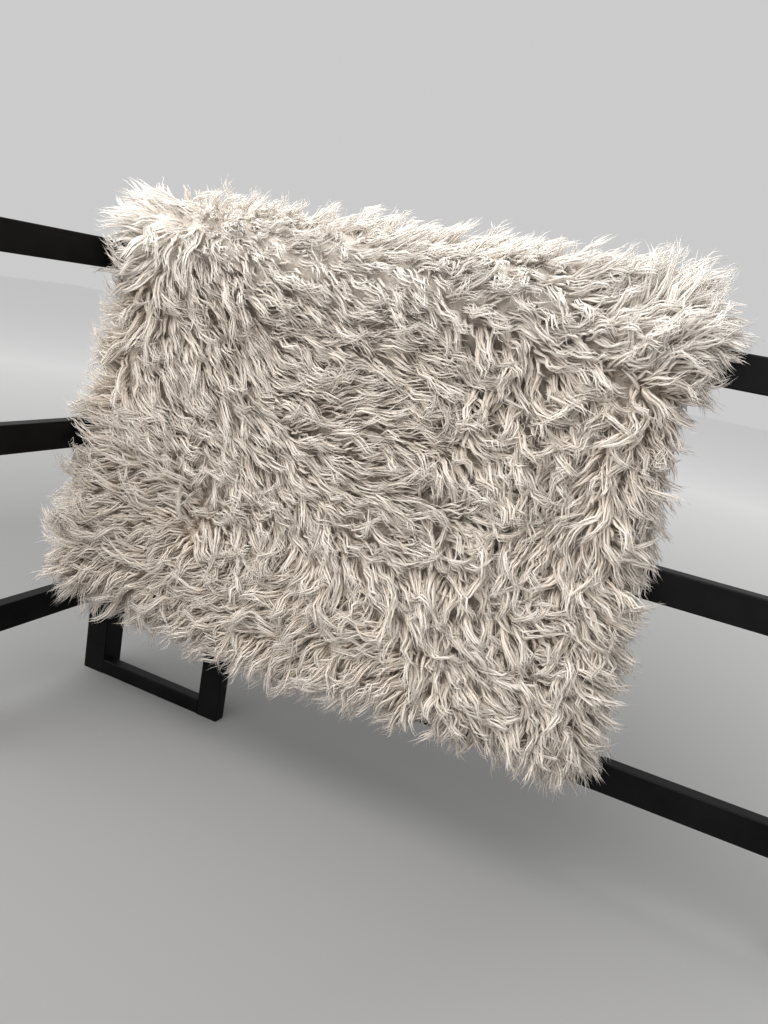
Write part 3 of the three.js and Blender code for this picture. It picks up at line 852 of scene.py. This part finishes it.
def clear_of_steel(lines):
    """Bends each line (count, rings, 3) that runs into a bar aside, by the shortest way out, and
    says which lines then stay outside every bar's box grown by the clearance, and near the rug."""
    steps = BEND_BEFORE * np.linspace(0, 1, lines.shape[1])
    bars = np.array([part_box(name) for name in STEEL_NODES])
    bars = bars + STEEL_CLEARANCE * np.array([-1, 1])[:, None]
    for low, high in bars:
        inside = ((lines > low) & (lines < high)).all(-1)
        ways_out = np.concatenate([lines - low, high - lines], -1)
        needed = np.where(inside[..., None], ways_out, 0).max(1)
        way = needed.argmin(1)
        push = np.where(inside.any(1), needed.min(1), 0)
        aside = np.where(way < 3, -1.0, 1.0)[:, None] * np.eye(3)[way % 3] * push[:, None]
        met = np.cumsum(inside, 1) > 0
        lines = lines + aside[:, None] * np.where(met, 1.0, steps)[..., None]
    low, high = CAD_BOX[0] - PILE_REACH, CAD_BOX[1] + PILE_REACH
    free = ((lines > low) & (lines < high)).all((1, 2))
    for low, high in bars:
        free &= ~((lines > low) & (lines < high)).all(-1).any(1)
    return lines, free


def tubes(lines, radius, side):
    """Closed tubes on lines (count, rings, 3): a ring of points at right angles to the line at
    every step, of that step's radius, and one point at the tip. Also the faces, and the UV of
    their corners: u goes round the tube and v along it."""
    count, rings = lines.shape[:2]
    ahead = unit(np.gradient(lines, axis=1))
    level = unit(side[:, None] - ahead * np.sum(side[:, None] * ahead, -1, keepdims=True))
    above = np.cross(ahead, level)
    turn = (np.arange(SIDES) / SIDES * 2 * np.pi)[:, None]
    spoke = np.cos(turn) * level[:, :-1, None] + np.sin(turn) * above[:, :-1, None]
    ring = lines[:, :-1, None] + spoke * radius[:, :-1, None, None]
    points = np.concatenate([ring.reshape(count, -1, 3), lines[:, -1:]], 1)
    start, column = np.divmod(np.arange((rings - 2) * SIDES), SIDES)
    base, following = start * SIDES, (column + 1) % SIDES
    quads = np.stack([column, following, following + SIDES, column + SIDES], -1) + base[:, None]
    corners = ((0, 0), (1, 0), (1, 1), (0, 1))
    quad_uv = np.stack([np.stack([column + a, start + b], -1) for a, b in corners], 1)
    column, last = np.arange(SIDES), (rings - 2) * SIDES
    tip = np.stack([column, (column + 1) % SIDES, np.full(SIDES, SIDES)], -1) + last
    triangles = np.concatenate([tip, column[None, ::-1]])
    corners = ((0, 0), (1, 0), (0.5, 1))
    height = np.full(SIDES, rings - 2)
    tip_uv = np.stack([np.stack([column + a, height + b], -1) for a, b in corners], 1)
    tip_uv = np.concatenate([tip_uv, np.zeros((1, 3, 2))])
    scale = np.array([1 / SIDES, 1 / (rings - 1)])
    quad_uv, tip_uv = (np.tile((uv * scale).reshape(-1, 2), (count, 1)) for uv in (quad_uv, tip_uv))
    first = (np.arange(count) * points.shape[1])[:, None, None]
    quads, triangles = (quads + first).reshape(-1, 4), (triangles + first).reshape(-1, 3)
    return points.reshape(-1, 3), quads, triangles, quad_uv, tip_uv


def spin(locks, strands, rings, make, seed):
    """The strands' lines and radii. A strand keeps its place round the lock's line, at a distance
    that shrinks towards the tip and then frays. It turns with the lock's twist, and has kinks."""
    dice = np.random.default_rng(seed)
    line, ahead, above = lock_lines(locks, rings)
    size = (len(line), strands)
    t = np.linspace(0, 1, rings)
    place = (np.arange(strands) / strands * 2 * np.pi)[None] + dice.uniform(-0.6, 0.6, size)
    root_out = locks["radius"][:, None] * dice.uniform(*make["out"], size)
    stray = dice.random(size) < make["stray"]
    fray = np.where(stray, STRAY["fray"], make["fray"]) * dice.uniform(0.2, 1.6, size)
    angle = place[..., None] + locks["twist"][:, None, None] * t
    out = root_out[..., None] * (1 - make["gather"] * t) + fray[..., None] * t**2.5
    kink = np.where(stray, STRAY["kink"], 1.0)[..., None] * make["kink"] * np.sqrt(t)
    pitch = dice.uniform(1.4, 2.9, size)[..., None]
    phase = dice.uniform(0, 6.28, size)[..., None]
    sway = out * np.cos(angle) + kink * np.sin(2 * np.pi * pitch * t + phase)
    rise = out * np.sin(angle) * 0.8
    rise = rise + 0.7 * kink * np.cos(2 * np.pi * pitch * 0.9 * t + 2 * phase)
    slide = (dice.uniform(*make["reach"], size) - 1)[..., None] * t
    lines = line[:, None] + sway[..., None] * locks["binormal"][:, None, None]
    lines = lines + rise[..., None] * above[:, None]
    lines = lines + (slide * locks["length"][:, None, None])[..., None] * ahead[:, None]
    plump = dice.uniform(0.75, 1.2, size)[..., None] * (1 + 0.1 * np.sin(9 * t + phase))
    radius = make["thick"] * plump * (1 - (1 - make["tip"]) * t**1.6)
    tone = np.clip(locks["tone"][:, None] * 0.5 + dice.uniform(0, 0.5, size), 0, 1)
    side = np.repeat(locks["binormal"], strands, 0)
    return lines.reshape(-1, rings, 3), radius.reshape(-1, rings), side, tone.ravel()


print("each tube has", SIDES, "sides")

# %% Join the strands
WISPS = dict(
    thick=0.0029, tip=0.20, gather=0.55, out=(0.35, 1.0), fray=0.003, kink=0.0014, stray=0.05,
    reach=(0.84, 1.05), streaks=9,
)
YARNS = dict(
    thick=0.00080, tip=0.6, gather=0.45, out=(0.85, 1.35), fray=0.0042, kink=0.0022, stray=0.10,
    reach=(0.86, 1.12), streaks=2,
)
TUFTS = dict(
    thick=0.0048, tip=0.16, gather=0.1, out=(0.5, 1.0), fray=0.004, kink=0.001, stray=0.0,
    reach=(0.8, 1.1), streaks=12,
)
WISP_RINGS, YARN_RINGS, TUFT_RINGS = 6, 7, 4
TUFT_SPACING = 0.0258
TUFT_SIZES = dict(length=0.60, wave=0.6, radius=0.8)
TUFT_SPAN = 0.6


def take(locks, chosen):
    return {key: value[chosen] for key, value in locks.items()}


def strand_group(locks, strands, rings, make, seed, span=1.0):
    """One kind of strand for all these locks: points, quads, triangles, the UV of both, and every
    point's reach, which goes from 0 at the root to `span` at the tip, and tone."""
    lines, radius, side, tone = spin(locks, strands, rings, make, seed)
    lines, free = clear_of_steel(lines)
    *faces, quad_uv, tip_uv = tubes(lines[free], radius[free], side[free])
    scale = (make["streaks"], span)
    along = span * np.concatenate([np.repeat(np.linspace(0, 1, rings)[:-1], SIDES), [1]])
    reach, tone = np.tile(along, free.sum()), np.repeat(tone[free], len(along))
    return *faces, quad_uv * scale, tip_uv * scale, reach, tone


def join_groups(name, *groups):
    """One mesh of several groups, whose faces count on from the points of the groups before."""
    first = np.cumsum([0] + [len(group[0]) for group in groups])
    groups = [(p, q + n, t + n, *rest) for n, (p, q, t, *rest) in zip(first, groups)]
    joined = [np.concatenate(same) for same in zip(*groups)]
    points, quads, triangles, quad_uv, tip_uv, reach, tone = joined
    uv = np.concatenate([quad_uv, tip_uv])
    return put_mesh(name, points, quads, triangles, uv=uv, tags=dict(reach=reach, tone=tone))


def make_pile(name, locks, wisps, yarns, seed, **changes):
    """One piece of the pile: every lock's thick wisps and its finer yarns."""
    wisp = dict(WISPS, **changes)
    thick = strand_group(locks, wisps, WISP_RINGS, wisp, seed + wisp["streaks"])
    fine = strand_group(locks, yarns, YARN_RINGS, YARNS, seed + YARNS["streaks"])
    return join_groups(name, thick, fine)


def make_tufts(name, spacing, seed):
    """Short tufts of two strands each, which fill the room between the locks' roots."""
    front = lay_locks(*plant(spacing, seed, True), seed=seed + 5)
    back = lay_locks(*plant(spacing, seed + 1, False), seed=seed + 6)
    locks = {key: np.concatenate([front[key], back[key]]) for key in front}
    for key, share in TUFT_SIZES.items():
        locks[key] = locks[key] * share
    return join_groups(name, strand_group(locks, 2, TUFT_RINGS, TUFTS, seed + 9, TUFT_SPAN))


crest_part = np.abs(front_locks["fall"]) <= CREST_RUN
beside = front_locks["across"]
# Which locks each piece has, its seed, and how its wisps differ.
FRONT_PIECES = {
    "pile_crest_left": (crest_part & (beside < 0.5), 51, {}),
    "pile_crest_right": (crest_part & (beside >= 0.5), 56, {}),
    "pile_front_left": (~crest_part & (beside < 0.26), 61, {}),
    "pile_front_middle": (~crest_part & (beside >= 0.26) & (beside < 0.70), 71, {}),
    "pile_front_right": (~crest_part & (beside >= 0.70), 81, dict(thick=0.0036, gather=0.72)),
}
pile = []
for name, (chosen, seed, changes) in FRONT_PIECES.items():
    chosen = take(front_locks, chosen)
    pile.append(make_pile(name, chosen, wisps=3, yarns=5, seed=seed, **changes))
pile.append(make_pile("pile_back", back_locks, wisps=3, yarns=1, seed=91, thick=0.0048))
pile.append(make_tufts("pile_tufts", TUFT_SPACING, 131))

# %% [markdown]
# ## Colour of the wool
# The wool is undyed: warm cream where it is open to the light, a little greyer or yellower from
# lock to lock, and painted brown-grey shade deep down, towards the roots. The two numbers kept on
# every point drive it: how far along the yarn the point is, and the yarn's own tone. Over the rail
# it is lighter, a painted light from above. Fine fibres are streaks and bumps from a noise on the
# strand's own UV; the streaks' light and dark are painted highlights and shade, and a soft sheen
# stands for the fuzz.

# %% Dye the wool
# Painted shade: near the root the yarn's colour is a dark brown-grey for the shade deep in the
# pile.
WOOL_ROOT_SHADE = (0.75, 0.65, 0.55)
WOOL_MIDDLE = (0.85, 0.795, 0.73)
WOOL_OPEN = (0.91, 0.87, 0.82)
# Painted light: a lighter cream mixed in over the rail, where the light from above falls most.
WOOL_CREST_LIGHT = (0.92, 0.885, 0.84)
WOOL_TONES = [(0.0, (0.89, 0.855, 0.82)), (0.5, (0.96, 0.95, 0.935)), (1.0, (1.0, 0.99, 0.98))]
# Painted highlights and shade: the fibre streaks' light and dark stand for light on the fibres and
# shade between them.
FIBRE_LIGHT_AND_SHADE = [(0.36, (0.71, 0.62, 0.54)), (0.50, (0.90, 0.87, 0.84)), (0.62, 1.0)]
FIBRE_STRETCH = (1.0, 2.2, 1.0)
# Painted shade: the undercoat's dark brown-grey stands for the shade deep in the pile, mottled by a
# noise.
FELT_SHADE = [(0.40, (0.44, 0.365, 0.29)), (0.60, (0.74, 0.66, 0.575))]
WEAVE = [(0.0, (0.34, 0.28, 0.21)), (0.6, (0.66, 0.60, 0.50))]


def mix_colours(tree, first, blend_type="MIX"):
    """A node that mixes a second colour into the first: its B and Factor are still to be set."""
    mix = add_node(tree, "ShaderNodeMix", data_type="RGBA", blend_type=blend_type)
    mix.inputs["Factor"].default_value = 1.0
    tree.links.new(first, mix.inputs["A"])
    return mix


def multiply(tree, first, second):
    mix = mix_colours(tree, first, "MULTIPLY")
    tree.links.new(second, mix.inputs["B"])
    return mix.outputs["Result"]


def paint_crest_light(tree, colour, place, light, share):
    """Mixes a lighter colour in with height: painted light on the wool over the rail, where the
    light from above falls most.
    """
    split = add_node(tree, "ShaderNodeSeparateXYZ")
    tree.links.new(place, split.inputs["Vector"])
    high = add_node(tree, "ShaderNodeMapRange", From_Min=0.92, From_Max=1.05, To_Max=share)
    tree.links.new(split.outputs["Z"], high.inputs["Value"])
    mix = mix_colours(tree, colour)
    tree.links.new(high.outputs["Result"], mix.inputs["Factor"])
    mix.inputs["B"].default_value = (*light, 1)
    return mix.outputs["Result"]


def wool(name):
    material, tree, shader = new_material(name)
    link = tree.links.new
    reach = add_node(tree, "ShaderNodeAttribute", attribute_name="reach")
    tone = add_node(tree, "ShaderNodeAttribute", attribute_name="tone")
    # Painted shade: the colour runs from the dark root shade to light cream at the open tip.
    stops = [(0.0, WOOL_ROOT_SHADE), (0.26, WOOL_MIDDLE), (0.62, WOOL_OPEN)]
    along = ramp(tree, reach.outputs["Fac"], stops)
    tint = multiply(tree, along, ramp(tree, tone.outputs["Fac"], WOOL_TONES))
    place = add_node(tree, "ShaderNodeUVMap", uv_map="UVMap")
    stretch = add_node(tree, "ShaderNodeMapping", Scale=FIBRE_STRETCH)
    link(place.outputs["UV"], stretch.inputs["Vector"])
    fibre = add_node(tree, "ShaderNodeTexNoise", Scale=1.6, Detail=2.0, Roughness=0.6)
    fill_in(fibre, Distortion=0.4)
    link(stretch.outputs["Vector"], fibre.inputs["Vector"])
    # Painted highlights and shade of the fibres, from the streak noise.
    streaks = multiply(tree, tint, ramp(tree, fibre.outputs["Fac"], FIBRE_LIGHT_AND_SHADE))
    spot = add_node(tree, "ShaderNodeTexCoord")
    # Painted light: the yarn over the rail is lightened towards the crest colour.
    colour = paint_crest_light(tree, streaks, spot.outputs["Object"], WOOL_CREST_LIGHT, 0.50)
    link(colour, shader.inputs["Base Color"])
    raise_bumps(tree, shader, fibre.outputs["Fac"], 0.5, 0.0006)
    fill_in(shader, Subsurface_Weight=0.35, Subsurface_Radius=(1.0, 1.0, 1.0))
    fill_in(shader, Subsurface_Scale=0.005, Roughness=0.88, Specular_IOR_Level=0.18)
    fill_in(shader, Sheen_Weight=0.35, Sheen_Roughness=0.45, Sheen_Tint=(1.0, 0.97, 0.92, 1))
    return material


def matted_wool():
    """The undercoat: brown-grey wool painted dark as shade, with mottled light spots and a felted
    bump, by place.
    """
    material, tree, shader = new_material("matted wool")
    place = add_node(tree, "ShaderNodeTexCoord")
    clumps = add_node(tree, "ShaderNodeTexNoise", Scale=70.0, Detail=6.0, Roughness=0.7)
    fill_in(clumps, Distortion=0.8)
    tree.links.new(place.outputs["Object"], clumps.inputs["Vector"])
    colour = ramp(tree, clumps.outputs["Fac"], FELT_SHADE)
    # Painted light: over the rail the undercoat is lightened, so the gaps there show less shade.
    colour = paint_crest_light(tree, colour, place.outputs["Object"], WOOL_MIDDLE, 0.85)
    tree.links.new(colour, shader.inputs["Base Color"])
    raise_bumps(tree, shader, clumps.outputs["Fac"], 0.9, 0.006)
    fill_in(shader, Roughness=0.95, Specular_IOR_Level=0.1)
    return material


def woven_cloth():
    """The backing: warp and weft as two crossed sine waves on the cloth's own metres."""
    material, tree, shader = new_material("woven wool cloth")
    place = add_node(tree, "ShaderNodeUVMap", uv_map="UVMap")
    weave = add_node(tree, "ShaderNodeMath", operation="MULTIPLY")
    for number, direction in enumerate(("X", "Y")):
        wave = add_node(tree, "ShaderNodeTexWave", bands_direction=direction, Scale=52.0)
        fill_in(wave, Distortion=1.2, Detail=2.0)
        tree.links.new(place.outputs["UV"], wave.inputs["Vector"])
        tree.links.new(wave.outputs["Fac"], weave.inputs[number])
    colour = ramp(tree, weave.outputs["Value"], WEAVE)
    tree.links.new(colour, shader.inputs["Base Color"])
    raise_bumps(tree, shader, weave.outputs["Value"], 0.8, 0.0012)
    fill_in(shader, Roughness=0.92, Sheen_Weight=0.2)
    return material


CREAM_WOOL = wool("cream wool yarn")
for piece in pile:
    piece.data.materials.append(CREAM_WOOL)
undercoat.data.materials.append(matted_wool())
woven_backing.data.materials.append(woven_cloth())
print("materials:", [m.name for m in bpy.data.materials])

# %% [markdown]
# ## The pieces on the body
# Every new piece rides on the one body, and the wool stands for the plain solids of the rug and of
# its rim, which are hidden. The backing is the sheet that it is: the size it was cut to, draped
# over the top rail, with the pile on it.

# %% Tell the frame
wool_pieces = [*pile, undercoat]
for piece in [woven_backing, *wool_pieces]:
    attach(piece, "root")
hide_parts("rug")
RIM_PIECES = {
    "pile_crest_left": ["rim_top_left"],
    "pile_crest_right": ["rim_top_right"],
    "pile_front_left": ["rim_front_left"],
    "pile_front_right": ["rim_front_right"],
    "pile_front_middle": ["rim_front_hem"],
    "pile_back": ["rim_back_left", "rim_back_right", "rim_back_hem"],
}
for name, nodes in RIM_PIECES.items():
    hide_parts(*nodes)

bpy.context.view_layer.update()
added = [polygon for piece in [woven_backing, *wool_pieces] for polygon in piece.data.polygons]
print("added triangles:", sum(len(polygon.vertices) - 2 for polygon in added))
